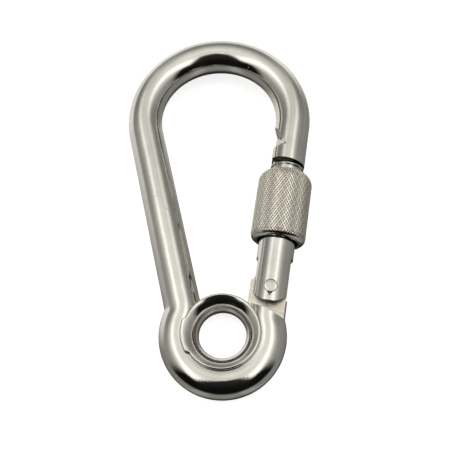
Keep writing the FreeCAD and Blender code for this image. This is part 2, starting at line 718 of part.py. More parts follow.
def check_and_export(parts):
    """Refuse any failed object, then write each piece to its own file."""
    doc.recompute()
    for item in doc.Objects:
        if "Invalid" in item.State or "Error" in item.State:
            raise RuntimeError(f"{item.Label} failed: {item.State}")
    os.makedirs("parts", exist_ok=True)
    for part in parts:
        shape = part.Shape
        if shape.isNull() or not shape.isValid() or len(shape.Solids) != 1:
            raise RuntimeError(f"{part.Label} is not one valid solid")
        box = shape.optimalBoundingBox(False)
        print(f"{part.Label:16s} volume {shape.Volume:9.2f}  x {box.XMin:7.2f} {box.XMax:7.2f}"
              f"  y {box.YMin:7.2f} {box.YMax:7.2f}  z {box.ZMin:6.2f} {box.ZMax:6.2f}")
        shape.exportStep(f"parts/{part.Label}.step")


def main():
    fill_sheet()
    parts = [
        make_hook_body(),
        make_thimble(),
        make_gate_bar(),
        make_cross_pin("pivot_rivet", size("rivet_radius"), size("rivet_half"),
                       size("rivet_dome"), Vector(0, 0, 0)),
        make_cross_pin("latch_pin", size("pin_radius"), size("pin_half"),
                       size("rivet_dome") * 0.5,
                       Vector(DIMENSIONS["pin_x"][0], DIMENSIONS["pin_y"][0], 0)),
        make_spring_plunger(),
        make_gate_spring(),
        make_sleeve_ring(),
        make_screw_sleeve(),
    ]
    check_and_export(parts)


main()
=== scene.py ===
"""Screw-lock snap hook with a thimble in its eye: visible pieces, finishes and a soft studio.

Lengths are millimetres until a piece is finished, and metres after that. The bent wire lies in
the XY plane with the eye's centre at the origin and the bow towards +Y. The gate has a frame of
its own: its origin is the pivot, "across" points outwards, "along" runs up the gate and the
third axis is +Z.
"""
from __future__ import annotations

import logging
import math
from dataclasses import dataclass
from enum import Enum
from functools import partial, reduce

import bpy
import numpy as np
from mathutils import Matrix, Vector
from numpy.typing import NDArray

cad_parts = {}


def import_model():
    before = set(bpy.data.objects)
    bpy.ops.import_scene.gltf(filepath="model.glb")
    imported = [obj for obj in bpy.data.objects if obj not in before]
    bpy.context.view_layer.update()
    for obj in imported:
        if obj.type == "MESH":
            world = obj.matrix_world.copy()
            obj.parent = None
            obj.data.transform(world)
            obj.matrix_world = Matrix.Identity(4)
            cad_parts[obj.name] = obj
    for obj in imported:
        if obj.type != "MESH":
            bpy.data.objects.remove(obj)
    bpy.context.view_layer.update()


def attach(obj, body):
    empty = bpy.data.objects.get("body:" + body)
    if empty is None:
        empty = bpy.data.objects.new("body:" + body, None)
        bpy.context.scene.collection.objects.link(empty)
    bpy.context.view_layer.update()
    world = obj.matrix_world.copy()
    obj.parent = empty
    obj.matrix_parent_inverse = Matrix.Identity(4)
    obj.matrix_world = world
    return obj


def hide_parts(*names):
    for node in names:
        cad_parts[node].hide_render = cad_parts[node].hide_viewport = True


Array = NDArray[np.float64]
Pair = tuple[float, float]
Triple = tuple[float, float, float]
Material = bpy.types.Material
Piece = bpy.types.Object
Socket = bpy.types.NodeSocket
LOG = logging.getLogger("snap_hook")
MILLIMETRE = 0.001
FULL_TURN = 2.0 * math.pi
WHITE = (1.0, 1.0, 1.0, 1.0)
CREASE_DEGREES = 27.0
ROLLED_CREASE_DEGREES = 40.0
KNURL_CREASE_DEGREES = 24.0


class Cut(Enum):
    """How a tool shape changes the piece that it meets."""

    REMOVE = "DIFFERENCE"
    ADD = "UNION"


class Side(Enum):
    """The two flat sides of the ring."""

    UPPER = 1.0
    LOWER = -1.0


class Layer(Enum):
    """The sleeve's finishes, by their place in its list."""

    KNURL = 0
    SMOOTH = 1
    # the bore and mouth, which carry painted shade
    INSIDE = 2


# --- surfaces

@dataclass
class Surface:
    """A closed surface: points in millimetres, and faces as lists of point numbers."""

    points: Array
    faces: list[list[int]]
    uvs: list[list[Pair]] | None = None

    def volume(self) -> float:
        """Signed volume: the sum over fan triangles of a corner dotted with the cross product."""
        corners = [(f[0], f[k], f[k + 1]) for f in self.faces for k in range(1, len(f) - 1)]
        a, b, c = (self.points[np.array(corners)[:, k]] for k in range(3))
        return float(np.einsum("ij,ij->i", a, np.cross(b, c)).sum() / 6.0)

    def outward(self) -> "Surface":
        """The same surface with every face pointing outwards."""
        if self.volume() < 0.0:
            self.faces = [face[::-1] for face in self.faces]
            if self.uvs is not None:
                self.uvs = [corner[::-1] for corner in self.uvs]
        return self

    def to_object(self, name: str, material: Material | None = None) -> Piece:
        """Put the surface into the scene.

        Args:
            name: name of the object and of its mesh.
            material: finish of every face, if the surface is one finish.

        Returns:
            The new object, at the origin and unturned.
        """
        self.outward()
        mesh = bpy.data.meshes.new(name)
        mesh.from_pydata(self.points.tolist(), [], self.faces)
        if self.uvs is not None:
            layer = mesh.uv_layers.new(name="Run")
            flat = np.array([value for face in self.uvs for value in face], dtype=np.float32)
            layer.data.foreach_set("uv", flat.ravel())
        if material is not None:
            mesh.materials.append(material)
        mesh.update()
        piece = bpy.data.objects.new(name, mesh)
        bpy.context.scene.collection.objects.link(piece)
        return piece


def grid(points: Array, wrap_rows: bool, wrap_columns: bool,
         run: Array | None = None) -> Surface:
    """Faces over a grid of points, row by row, with a flat cap on each open end.

    Args:
        points: array of shape (rows, columns, 3).
        wrap_rows: the last row joins the first.
        wrap_columns: the last column joins the first.
        run: distance of each row along the piece, for its texture coordinates.

    Returns:
        A closed surface.
    """
    rows, columns = points.shape[:2]
    row, column = np.meshgrid(np.arange(rows if wrap_rows else rows - 1),
                              np.arange(columns if wrap_columns else columns - 1),
                              indexing="ij")
    row_next, column_next = (row + 1) % rows, (column + 1) % columns
    quads = np.stack([row * columns + column, row_next * columns + column,
                      row_next * columns + column_next, row * columns + column_next], -1)
    faces = quads.reshape(-1, 4).tolist()
    uvs = None
    if run is not None:
        near, far = run[row], run[row_next]
        left, right = column / columns, (column + 1) / columns
        corners = np.stack([near, left, far, left, far, right, near, right], -1)
        uvs = [[(c[0], c[1]), (c[2], c[3]), (c[4], c[5]), (c[6], c[7])]
               for c in corners.reshape(-1, 8).tolist()]
    if not wrap_rows:
        caps = [list(range(columns)), list(range((rows - 1) * columns, rows * columns))[::-1]]
        faces += caps
        if uvs is not None:
            uvs += [[(0.0, k / columns) for k in range(columns)] for _ in caps]
    return Surface(points.reshape(-1, 3), faces, uvs)


def turn(profile: Array, columns: int) -> Array:
    """Points of a profile turned about the second axis.

    A point (r, h) at angle a goes to (r cos a, h, r sin a).

    Args:
        profile: array of shape (rows, 2) with radius and height.
        columns: steps round the axis.

    Returns:
        Array of shape (rows, columns, 3).
    """
    angle = np.linspace(0.0, FULL_TURN, columns, endpoint=False)
    radius, height = profile[:, :1], profile[:, 1:]
    return np.stack([radius * np.cos(angle), height + 0.0 * angle, radius * np.sin(angle)], -1)


def lathe(profile: Array, columns: int) -> Surface:
    """A turned surface about the second axis, closed by a flat disc at each end."""
    return grid(turn(profile, columns), False, True)


def prism(outline: Array, low: float, high: float) -> Surface:
    """A flat outline of shape (corners, 2) carried straight from one height to another."""
    levels = np.array([low, high])[:, None, None]
    flat = np.broadcast_to(outline[None], (2, *outline.shape))
    points = np.concatenate([flat, np.broadcast_to(levels, (2, len(outline), 1))], -1)
    return grid(points, False, True)


def arc_points(centre: Pair, radius: float, start: float, end: float,
               steps: int) -> Array:
    """Points on an arc from one angle to another, in degrees."""
    angle = np.radians(np.linspace(start, end, steps))
    return np.stack([centre[0] + radius * np.cos(angle), centre[1] + radius * np.sin(angle)], -1)


def circle(centre: Pair, radius: float, steps: int) -> Array:
    """Evenly spaced points round a circle."""
    return arc_points(centre, radius, 0.0, 360.0 - 360.0 / steps, steps)


def smooth_window(value: Array, low: float, high: float, soft: float) -> Array:
    """One between low and high, zero outside, with a smooth step of width soft at each end."""
    rise = np.clip((value - low) / soft + 0.5, 0.0, 1.0)
    fall = np.clip((high - value) / soft + 0.5, 0.0, 1.0)
    step = rise * fall
    return step * step * (3.0 - 2.0 * step)


# --- plan of the wire

@dataclass(frozen=True)
class WirePlan:
    """The centre line of the bent wire: nose, bow, spine, reverse bend, eye, bend and stub."""

    wire_radius: float = 3.625
    eye_radius: float = 8.85
    neck_bend: float = 4.2
    spine_offset: float = 6.454
    spine_lean: float = 12.62
    bow_radius: float = 16.05
    gate_offset: float = 7.942
    pivot_offset: float = 8.03
    gate_lean: float = 8.7
    pivot_rise: float = 10.2
    nose_length: float = 9.9
    stub_length: float = 3.4
    bend_step: float = 0.42
    straight_step: float = 1.2

    def gate_axes(self) -> tuple[Array, Array]:
        """Unit vectors across and along the gate, in the ring's plane."""
        lean = math.radians(self.gate_lean)
        return (np.array([math.cos(lean), -math.sin(lean)]),
                np.array([math.sin(lean), math.cos(lean)]))

    def spine_axes(self) -> tuple[Array, Array]:
        """Unit vectors out from the eye's centre to the spine, and along the spine."""
        lean = math.radians(self.spine_lean)
        return (np.array([-math.cos(lean), -math.sin(lean)]),
                np.array([-math.sin(lean), math.cos(lean)]))

    def pivot(self) -> Array:
        """The gate's pivot in the ring's plane."""
        across, along = self.gate_axes()
        return across * self.pivot_offset + along * self.pivot_rise

    def place(self, surface: Surface) -> Surface:
        """Move a surface from the gate's frame (across, along, up) to the hook's frame."""
        across, along = self.gate_axes()
        points = surface.points
        flat = self.pivot() + points[:, :1] * across + points[:, 1:2] * along
        surface.points = np.concatenate([flat, points[:, 2:]], -1)
        return surface

    def neck(self, out: Array, along: Array, offset: float) -> tuple[Array, Array, Array]:
        """Centre of a reverse bend, and where it touches the eye and the straight run."""
        reach = self.eye_radius + self.neck_bend
        rise = math.sqrt(reach ** 2 - (offset + self.neck_bend) ** 2)
        centre = out * (offset + self.neck_bend) + along * rise
        return centre, centre * (self.eye_radius / reach), out * offset + along * rise

    def bow_centre(self) -> Array:
        """Centre of the circle that touches both the spine's and the gate's lines."""
        rows = np.stack([self.gate_axes()[0], self.spine_axes()[0]])
        gaps = np.array([self.gate_offset - self.bow_radius, self.spine_offset - self.bow_radius])
        return np.linalg.solve(rows, gaps)

    def centre_line(self) -> Array:
        """Points of the whole centre line from the nose's end to the stub's end.

        Straight runs and arcs follow each other, each sampled evenly; an arc from angle a to
        angle b about c is c + r (cos, sin).

        Returns:
            Array of shape (points, 2).
        """
        gate_out, gate_up = self.gate_axes()
        spine_out, spine_up = self.spine_axes()
        bow = self.bow_centre()
        nose = bow + gate_out * self.bow_radius
        spine_top = bow + spine_out * self.bow_radius
        left, left_eye, left_line = self.neck(spine_out, spine_up, self.spine_offset)
        right, right_eye, right_line = self.neck(gate_out, gate_up, self.gate_offset)

        def bend(centre: Array, start: Array, end: Array, turns_left: bool) -> Array:
            """Points between two points on the circle about a centre."""
            first = math.atan2(*(start - centre)[::-1])
            last = math.atan2(*(end - centre)[::-1])
            if turns_left and last < first:
                last += FULL_TURN
            if not turns_left and last > first:
                last -= FULL_TURN
            radius = float(np.linalg.norm(start - centre))
            count = max(3, int(abs(last - first) * radius / self.bend_step))
            angle = np.linspace(first, last, count)[1:-1]
            return centre + radius * np.stack([np.cos(angle), np.sin(angle)], -1)

        def straight(start: Array, end: Array) -> Array:
            """Points from one point to another, with both ends."""
            count = max(3, int(np.linalg.norm(end - start) / self.straight_step))
            return start + (end - start) * np.linspace(0.0, 1.0, count)[:, None]

        return np.concatenate([
            straight(nose - gate_up * self.nose_length, nose),
            bend(bow, nose, spine_top, True),
            straight(spine_top, left_line),
            bend(left, left_line, left_eye, False),
            left_eye[None],
            bend(np.zeros(2), left_eye, right_eye, True),
            right_eye[None],
            bend(right, right_eye, right_line, False),
            straight(right_line, right_line + gate_up * self.stub_length)])

    def tube(self, columns: int = 112) -> Surface:
        """A round tube about the centre line: c + r (cos a * side + sin a * up)."""
        line = self.centre_line()
        heading = np.gradient(line, axis=0)
        heading /= np.linalg.norm(heading, axis=1, keepdims=True)
        side = np.stack([heading[:, 1], -heading[:, 0]], -1)
        angle = np.linspace(0.0, FULL_TURN, columns, endpoint=False)
        points = np.zeros((len(line), columns, 3))
        points[..., :2] = (line[:, None] + self.wire_radius
                           * np.cos(angle)[None, :, None] * side[:, None])
        points[..., 2] = self.wire_radius * np.sin(angle)
        steps = np.linalg.norm(np.diff(line, axis=0), axis=1)
        run = np.concatenate([[0.0], np.cumsum(steps)]) / (FULL_TURN * self.wire_radius)
        return grid(points, False, True, run)


# --- finishes

class Nodes:
    """Short words for the shader nodes that the finishes and the light share."""

    def __init__(self, tree: bpy.types.NodeTree) -> None:
        """Keep the node tree that new nodes go into."""
        self.tree = tree

    def fill(self, node: bpy.types.Node, sockets: dict[str | int, object]) -> None:
        """Link a node's inputs, or set their plain values, by name or number."""
        for key, value in sockets.items():
            if isinstance(value, Socket):
                self.tree.links.new(value, node.inputs[key])
            else:
                node.inputs[key].default_value = value

    def node(self, kind: str, sockets: dict[str | int, object] | None = None,
             **settings: object) -> bpy.types.Node:
        """Add a node.

        Args:
            kind: the node's type.
            sockets: what goes into its inputs.
            settings: its plain properties.

        Returns:
            The node.
        """
        made = self.tree.nodes.new(kind)
        for key, value in settings.items():
            setattr(made, key, value)
        self.fill(made, sockets or {})
        return made

    def maths(self, operation: str, *values: Socket | float) -> Socket:
        """The result of one maths node."""
        return self.node("ShaderNodeMath", dict(enumerate(values)), operation=operation).outputs[0]

    def product(self, *values: Socket | float) -> Socket:
        """Values multiplied together from left to right."""
        return reduce(partial(self.maths, "MULTIPLY"), values)

    def rest(self, *values: Socket | float) -> Socket:
        """One less the product of the values."""
        return self.maths("SUBTRACT", 1.0, self.product(*values))

    def weighted(self, *parts: tuple[Socket, float]) -> Socket:
        """The sum of values from left to right, each times its share."""
        return reduce(partial(self.maths, "ADD"), [self.product(*part) for part in parts])

    def step(self, value: Socket, low: float, high: float, to_low: float = 0.0,
             to_high: float = 1.0, kind: str = "SMOOTHSTEP") -> Socket:
        """A step of a value between two limits, smooth or straight, mapped to a new range."""
        return self.node("ShaderNodeMapRange", dict(enumerate((value, low, high, to_low, to_high))),
                         interpolation_type=kind).outputs[0]

    def noise(self, place: Socket, scale: float, detail: float, rough: float) -> Socket:
        """A noise value at a place."""
        return self.node("ShaderNodeTexNoise", {"Vector": place, "Scale": scale, "Detail": detail,
                                                "Roughness": rough}).outputs["Fac"]

    def stretched(self, place: Socket, scale: Triple, turned: float) -> Socket:
        """A place turned about +Z, in degrees, and then scaled along its axes."""
        spin = self.node("ShaderNodeMapping",
                         {"Vector": place, "Rotation": (0.0, 0.0, math.radians(turned))})
        return self.node("ShaderNodeMapping",
                         {"Vector": spin.outputs[0], "Scale": scale}).outputs[0]

    def ramp(self, value: Socket, stops: list[tuple[float, Triple]]) -> Socket:
        """A colour that follows a value through the given stops."""
        made = self.node("ShaderNodeValToRGB", {0: value})
        elements = made.color_ramp.elements
        while len(elements) < len(stops):
            elements.new(0.5)
        for element, (position, colour) in zip(elements, stops):
            element.position = position
            element.color = (*colour, 1.0)
        return made.outputs[0]

    def tinted(self, colour: Socket, tint: Socket | tuple[float, ...]) -> Socket:
        """One colour multiplied by another."""
        return self.node("ShaderNodeMix", {0: 1.0, 6: colour, 7: tint}, data_type="RGBA",
                         blend_type="MULTIPLY").outputs[2]


@dataclass(frozen=True)
class SteelFinish:
    """A bright metal: colour, gloss, drawing lines, fine grain, cloudy stain, pits, and a knurl's
    painted shade and light.

    A noise is its scale, detail and roughness; a pair of limits is where a step begins and ends.
    """

    name: str
    colour: Triple = (0.745, 0.725, 0.690)
    dull_colour: Triple = (0.655, 0.630, 0.590)
    roughness: Pair = (0.07, 0.13)
    line_scale: Triple = (900.0, 900.0, 900.0)
    line_turn: float = 0.0
    line_noise: Triple = (1.0, 4.0, 0.6)
    line_depth: float = 0.02
    grain_scale: float = 2600.0
    grain_noise: Pair = (2.0, 0.5)
    grain_depth: float = 0.03
    cloud_noise: Triple = (160.0, 3.0, 0.55)
    cloud_share: float = 0.6
    line_share: float = 0.4
    tone_limits: Pair = (0.36, 0.64)
    gloss_limits: Pair = (0.3, 0.7)
    wave_noise: Triple = (210.0, 1.0, 0.4)
    wave_depth: float = 0.0
    pits: float = 0.0
    pit_scale: float = 620.0
    pit_limits: Pair = (0.04, 0.15)
    patch_noise: Triple = (95.0, 1.0, 0.5)
    patch_limits: Pair = (0.60, 0.66)
    bump_distance: float = 0.0001
    follows_run: bool = False
    knurl_teeth: int = 0
    # painted shade: the dark colour of the knurl's pits
    painted_pit_shade: Triple = (0.27, 0.225, 0.17)
    # painted light: tones of the two ridge sets; the second set is darker, as if lit from one side
    painted_ridge_light: tuple[Pair, Pair] = ((0.74, 1.0), (0.52, 0.86))
    bold_limits: Pair = (0.60, 0.10)
    crest_limits: Pair = (0.45, 0.10)

    def knurled(self, nodes: Nodes, run: Socket, tone: Socket) -> Socket:
        """Paint shade into the pits between two crossing sets of ridges.

        The ridges lie at whole values of u + n v and u - n v, where n is the number of teeth;
        every second ridge of each set is brighter, and the second set is painted darker than the
        first, as if lit from one side.
        """
        along, across, _ = nodes.node("ShaderNodeSeparateXYZ", {0: run}).outputs
        around = nodes.product(across, float(self.knurl_teeth))
        sets = []
        for crossing, painted_tones in zip(("ADD", "SUBTRACT"), self.painted_ridge_light):
            phase = nodes.maths(crossing, along, around)
            bold = nodes.step(nodes.maths("PINGPONG", phase, 1.0), *self.bold_limits, *painted_tones)
            crest = nodes.step(nodes.maths("PINGPONG", phase, 0.5), *self.crest_limits)
            sets.append(nodes.product(crest, bold))
        ridges = nodes.maths("MAXIMUM", *sets)
        return nodes.tinted(tone, nodes.ramp(ridges, [(0.0, self.painted_pit_shade),
                                                      (1.0, (1.0, 1.0, 1.0))]))

    def make(self) -> Material:
        """Build the node material.

        Returns:
            The material, with its lines along the piece's run or along its own axes.
        """
        material = bpy.data.materials.new(self.name)
        material.use_nodes = True
        nodes = Nodes(material.node_tree)
        source = nodes.node("ShaderNodeTexCoord").outputs
        place, run = source["Object"], source["UV"]
        lines = nodes.noise(nodes.stretched(run if self.follows_run else place, self.line_scale,
                                            self.line_turn), *self.line_noise)
        cloud = nodes.noise(place, *self.cloud_noise)
        grain = nodes.noise(place, self.grain_scale, *self.grain_noise)
        blend = nodes.weighted((cloud, self.cloud_share), (lines, self.line_share))
        tone = nodes.ramp(nodes.step(blend, *self.tone_limits),
                          [(0.0, self.dull_colour), (1.0, self.colour)])
        if self.knurl_teeth:
            tone = self.knurled(nodes, run, tone)
        gloss = nodes.step(nodes.weighted((cloud, 0.5), (grain, 0.5)), *self.gloss_limits,
                           *self.roughness, "LINEAR")
        relief = [(lines, self.line_depth), (grain, self.grain_depth)]
        if self.wave_depth:
            relief.append((nodes.noise(place, *self.wave_noise), self.wave_depth))
        if self.pits:
            spots = nodes.node("ShaderNodeTexVoronoi", {"Vector": place, "Scale": self.pit_scale},
                               feature="F1")
            pit = nodes.step(spots.outputs["Distance"], *self.pit_limits, -1.0, 0.0)
            patch = nodes.step(nodes.noise(place, *self.patch_noise), *self.patch_limits)
            relief.append((nodes.product(pit, patch), self.pits))
        bump = nodes.node("ShaderNodeBump", {"Strength": 1.0, "Distance": self.bump_distance,
                                             "Height": nodes.weighted(*relief)})
        nodes.fill(material.node_tree.nodes["Principled BSDF"],
                   {"Metallic": 1.0, "Base Color": tone, "Roughness": gloss,
                    "Normal": bump.outputs[0]})
        return material


@dataclass(frozen=True)
class Finishes:
    """Every finish of the hook, made once."""

    wire: Material
    milled: Material
    thimble: Material
    gate: Material
    fork: Material
    sleeve: Material
    pin: Material
    inner: Material
    # painted shade: a near-black finish for faces in gaps, cuts and the sleeve's bore
    shade: Material

    @classmethod
    def make(cls, plan: WirePlan) -> "Finishes":
        """Make the finishes; the gate's lines run along the gate."""
        return cls(
            wire=SteelFinish("polished_nickel_wire", line_scale=(2.2, 260.0, 1.0),
                             line_depth=0.05, grain_depth=0.05, wave_depth=0.5, pits=0.35,
                             follows_run=True).make(),
            milled=SteelFinish("milled_nickel", colour=(0.90, 0.86, 0.80),
                               dull_colour=(0.62, 0.55, 0.46), roughness=(0.22, 0.40),
                               line_scale=(150.0, 3200.0, 3200.0), line_turn=25.0,
                               line_depth=0.6).make(),
            thimble=SteelFinish("pressed_nickel", roughness=(0.09, 0.16), grain_depth=0.04,
                                wave_depth=0.4).make(),
            gate=SteelFinish("satin_nickel", roughness=(0.10, 0.17), line_turn=plan.gate_lean,
                             line_scale=(2400.0, 60.0, 2400.0), line_depth=0.10,
                             grain_depth=0.05).make(),
            fork=SteelFinish("sawn_nickel", colour=(0.50, 0.48, 0.45),
                             dull_colour=(0.32, 0.30, 0.28), roughness=(0.3, 0.5),
                             line_scale=(400.0, 400.0, 2600.0), line_depth=0.5).make(),
            # Its knurl paints shade into the pits and light on the ridges.
            sleeve=SteelFinish("knurled_nickel", colour=(1.0, 0.965, 0.90),
                               dull_colour=(0.96, 0.91, 0.83), roughness=(0.20, 0.30),
                               grain_depth=0.06, knurl_teeth=ScrewSleeve.teeth).make(),
            pin=SteelFinish("upset_steel", colour=(0.80, 0.79, 0.77), roughness=(0.16, 0.28),
                            grain_scale=1500.0, grain_depth=0.35).make(),
            inner=SteelFinish("spring_steel", colour=(0.42, 0.41, 0.40),
                              dull_colour=(0.24, 0.23, 0.23), roughness=(0.25, 0.4),
                              grain_depth=0.2).make(),
            # Near-black painted shade, in place of the shade that falls in gaps, cuts and the
            # sleeve's bore.
            shade=SteelFinish("cut_steel_painted_shade", colour=(0.085, 0.065, 0.055),
                              dull_colour=(0.030, 0.022, 0.020), roughness=(0.35, 0.5),
                              grain_depth=0.2).make())


# --- building

class Workshop:
    """Cuts, joins and finishes pieces, and hands each one to its body."""

    def __init__(self, plan: WirePlan) -> None:
        """Start with the wire's plan and an empty list of finished pieces."""
        self.plan = plan
        self.finished: list[Piece] = []

    def carve(self, base: Piece, shapes: list[tuple[Surface, Cut, Material]]) -> None:
        """Apply tool shapes to a piece one after the other.

        Args:
            base: the piece, whose mesh is replaced by the result.
            shapes: each tool's surface in the gate's frame, what it does and the finish it leaves.
        """
        tools = []
        for number, (surface, cut, material) in enumerate(shapes):
            tool = self.plan.place(surface).to_object(f"{base.name}_tool_{number}", material)
            change = base.modifiers.new(tool.name, "BOOLEAN")
            change.operation = cut.value
            change.solver = "EXACT"
            change.material_mode = "TRANSFER"
            change.object = tool
            tools.append(tool)
        graph = bpy.context.evaluated_depsgraph_get()
        carved = bpy.data.meshes.new_from_object(
            base.evaluated_get(graph), preserve_all_data_layers=True, depsgraph=graph)
        base.modifiers.clear()
        old = base.data
        base.data = carved
        bpy.data.meshes.remove(old)
        for tool in tools:
            bpy.data.objects.remove(tool)

    def finish(self, piece: Piece, node: str, body: str, slot: str,
               crease: float = CREASE_DEGREES) -> Piece:
        """Scale a piece to metres, shade it and let it stand for its CAD node.

        Args:
            piece: the piece, in millimetres.
            node: the CAD node that it replaces.
            body: the body that it rides on.
            slot: the record's material slot; not used.
            crease: angle in degrees above which an edge stays sharp.

        Returns:
            The same piece.
        """
        mesh = piece.data
        mesh.transform(Matrix.Scale(MILLIMETRE, 4))
        mesh.shade_smooth()
        mesh.set_sharp_from_angle(angle=math.radians(crease))
        mesh.update()
        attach(piece, body)
        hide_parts(node)
        self.finished.append(piece)
        LOG.info("%s: %d points, %d faces", piece.name, len(mesh.vertices), len(mesh.polygons))
        return piece


@dataclass
class BentHook:
    """The bent wire body with its slotted nose, latch notch, step and pivot tongue."""

    plan: WirePlan
    tongue_half: float = 1.55
    step_distance: float = 4.35
    step_lean: float = 18.8
    step_draft: float = 4.0
    pivot_bore: float = 1.35
    cam_centre: float = -1.3
    cam_radius: float = 2.9
    boss_radius: float = 2.6
    foot: tuple[Pair, ...] = ((-4.1, 1.43), (-4.1, -3.3), (-3.2, -4.6), (2.4, -6.4),
                              (3.25, -5.9), (3.25, -1.5))
    slot_half: float = 1.3
    slot: tuple[Pair, ...] = ((-5.5, 26.6), (0.95, 26.6), (0.95, 33.8), (-5.5, 33.8))
    nose_cut: Pair = (28.35, 27.6)
    nose_waste: float = 4.0
    notch: tuple[Pair, ...] = ((-0.75, 31.15), (-5.5, 39.25), (-5.5, 30.5))
    far: float = 9.0

    def tongue_outline(self) -> Array:
        """Corners of the tongue in the gate's frame, with the cam's and the boss's arcs."""
        meet = ((self.boss_radius ** 2 - self.cam_radius ** 2 + self.cam_centre ** 2)
                / (2.0 * self.cam_centre))
        boss_end = math.degrees(math.acos(meet / self.boss_radius))
        cam_start = math.degrees(math.acos((meet - self.cam_centre) / self.cam_radius))
        cam_end = 180.0 - math.degrees(math.asin(self.foot[0][1] / self.cam_radius))
        boss = arc_points((0.0, 0.0), self.boss_radius, 0.0, boss_end, 24)
        cam = arc_points((self.cam_centre, 0.0), self.cam_radius, cam_start, cam_end, 32)[1:]
        return np.concatenate([boss, cam, np.array(self.foot)])

    def milling(self, side: Side) -> Array:
        """Space above one flat, with a steep step at its edge: an outline carried sideways.

        The outline lies in the plane of the edge's normal and +Z; it is carried along the edge
        and then turned about the pivot by the edge's lean.
        """
        rise = self.plan.wire_radius
        back = -self.step_distance - rise * math.tan(math.radians(self.step_draft))
        outline = np.array([(-self.step_distance, self.tongue_half), (self.far, self.tongue_half),
                            (self.far, self.tongue_half + rise), (back, self.tongue_half + rise)])
        lean = math.radians(self.step_lean)
        spread = np.array([-self.far, self.far])
        points = np.zeros((2, len(outline), 3))
        points[..., 0] = (spread[:, None] * math.cos(lean) + outline[None, :, 0] * math.sin(lean))
        points[..., 1] = (-spread[:, None] * math.sin(lean)
                          + outline[None, :, 0] * math.cos(lean))
        points[..., 2] = outline[None, :, 1] * side.value
        return points

    def build(self, shop: Workshop, finishes: Finishes) -> None:
        """Sweep the wire, mill the tongue, and cut the nose's end, slot and notch."""
        body = self.plan.tube().to_object("hook_wire", finishes.wire)
        milled, shade = finishes.milled, finishes.shade
        reach = 2.0 * self.plan.wire_radius
        inner, outer = self.nose_cut
        slope, waste = 0.5 * (inner - outer), inner - self.nose_waste
        nose_end = np.array([(-reach, inner + slope), (-reach, waste), (reach, waste),
                             (reach, outer - slope)])
        pivot = circle((0.0, 0.0), self.pivot_bore, 48)
        shop.carve(body, [
            (grid(self.milling(Side.UPPER), False, True), Cut.REMOVE, milled),
            (grid(self.milling(Side.LOWER), False, True), Cut.REMOVE, milled),
            (prism(self.tongue_outline(), -self.tongue_half, self.tongue_half), Cut.ADD, milled),
            (prism(pivot, -reach, reach), Cut.REMOVE, milled),
            # The nose's end and the slot take painted shade, dark in place of the shade in their
            # gaps.
            (prism(nose_end, -reach, reach), Cut.REMOVE, shade),
            (prism(np.array(self.slot), -self.slot_half, self.slot_half), Cut.REMOVE, shade),
            (prism(np.array(self.notch), -reach, reach), Cut.REMOVE, milled)])
        shop.finish(body, "hook_body", "hook", "wire_nickel")


@dataclass
class Thimble:
    """The flared eyelet in the hook's eye, with its seam's lap on the upper rim."""

    plan: WirePlan
    gap: float = 0.06
    wall: float = 0.57
    bore: float = 4.65
    rim: float = 7.02
    lap_from: float = 160.0
    lap_to: float = 212.0
    lap_soft: float = 7.0
    lap_degrees: float = 8.5
    columns: int = 216
    steps: int = 64
    lip_steps: int = 14

    def points(self) -> Array:
        """Cross-section rings round +Z.

        A wall point at angle a on the eye's wire circle lies at radius e - q cos a and height
        q sin a, where e is the eye's radius and q runs from the seat to the visible face; the
        visible face is never nearer the axis than the bore. Each rim ends in a half round.
        """
        around = np.linspace(0.0, FULL_TURN, self.columns, endpoint=False)
        seat = self.plan.wire_radius + self.gap
        face = seat + self.wall
        end = math.acos((self.plan.eye_radius - self.rim) / face)
        lap = smooth_window(np.degrees(around), self.lap_from, self.lap_to, self.lap_soft)
        top = end + math.radians(self.lap_degrees) * lap
        sweep = np.linspace(0.0, 1.0, self.steps)[:, None]
        angle = -end + (top + end)[None, :] * sweep
        lip = np.linspace(0.0, math.pi, self.lip_steps)[1:-1, None]
        middle, half = 0.5 * (seat + face), 0.5 * self.wall
        rim_out = half * np.sin(lip) / middle
        rows_q = [np.full_like(angle, face), middle + half * np.cos(lip) + 0.0 * around,
                  np.full_like(angle, seat), middle - half * np.cos(lip) + 0.0 * around]
        rows_a = [angle, top[None, :] + rim_out, angle[::-1], -end - rim_out + 0.0 * around]
        q, a = np.concatenate(rows_q), np.concatenate(rows_a)
        radius = np.maximum(self.plan.eye_radius - q * np.cos(a), self.bore)
        return np.stack([radius * np.cos(around), radius * np.sin(around), q * np.sin(a)], -1)

    def build(self, shop: Workshop, finishes: Finishes) -> None:
        """Close the rings into the thimble."""
        piece = grid(self.points(), True, True).to_object("flared_thimble", finishes.thimble)
        shop.finish(piece, "thimble", "hook", "thimble_nickel", ROLLED_CREASE_DEGREES)


